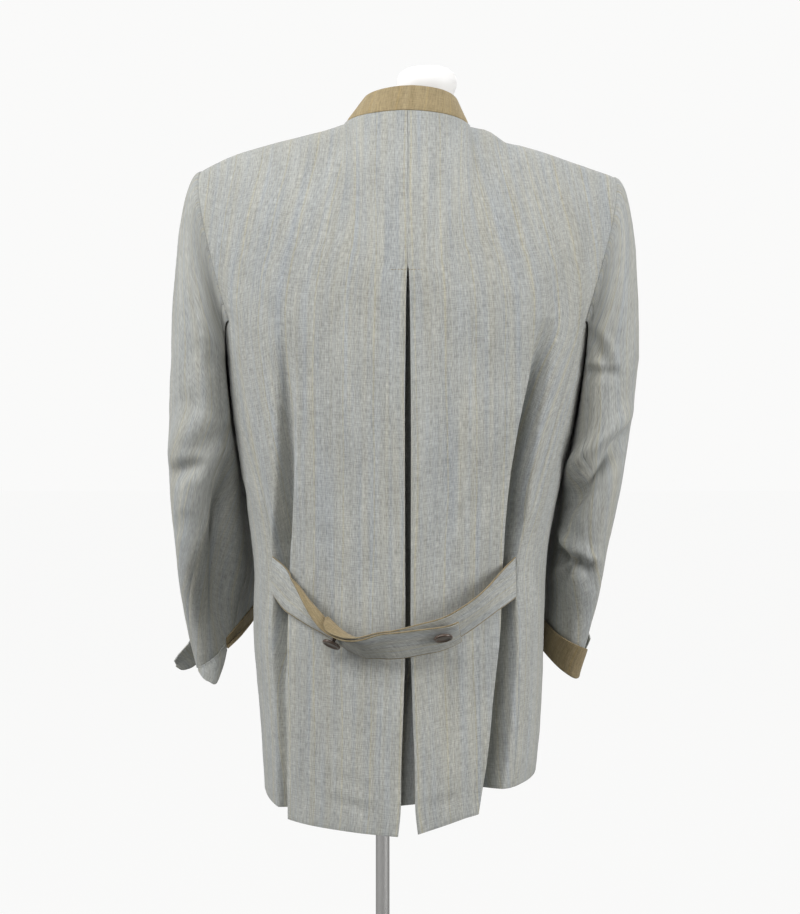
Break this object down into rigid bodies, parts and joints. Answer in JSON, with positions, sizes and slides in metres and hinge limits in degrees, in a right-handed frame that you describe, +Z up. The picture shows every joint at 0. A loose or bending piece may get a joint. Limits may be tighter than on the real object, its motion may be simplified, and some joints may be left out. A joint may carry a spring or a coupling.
{
  "type": "alpine jacket on dress form",
  "caption": "Grey slubbed linen alpine jacket with an olive stand collar, a deep back pleat and a slack buttoned half belt, on a white limbless dress form with a slim pole.",
  "frame": {"origin": "on the floor under the middle of the pole, at the underside of the base", "axes": "+Z up along the pole, the jacket's back faces -Y, +X is the wearer's right"},
  "size_m": [0.5476, 0.3343, 1.1075],
  "materials": {
    "linen_grey": "slubbed linen twill, grey with fine blue and ochre warp stripes",
    "linen_olive": "plain olive linen",
    "horn": "dark polished horn or horn-look resin",
    "form_white": "smooth white satin",
    "chrome": "polished chrome"
  },
  "bodies": {
    "root": {"back_left": "linen_grey", "back_right": "linen_grey", "pleat_underlay": "linen_grey", "side_left": "linen_grey", "side_right": "linen_grey", "front_left": "linen_grey", "front_right": "linen_grey", "sleeve_under_left": "linen_grey", "sleeve_top_left": "linen_grey", "sleeve_under_right": "linen_grey", "sleeve_top_right": "linen_grey", "cuff_left_outer_tip": "linen_grey", "cuff_left_inner_tip": "linen_grey", "cuff_right_outer_tip": "linen_grey", "belt_left_face": "linen_grey", "belt_right_face": "linen_grey", "collar": "linen_olive", "cuff_left": "linen_olive", "cuff_right": "linen_olive", "belt_left_backing": "linen_olive", "belt_right_backing": "linen_olive", "belt_button_left": "horn", "belt_button_right": "horn", "front_button_1": "horn", "front_button_2": "horn", "front_button_3": "horn", "front_button_4": "horn", "front_button_5": "horn", "form_torso": "form_white", "form_pole": "chrome", "form_base": "chrome"}
  },
  "joints": []
}
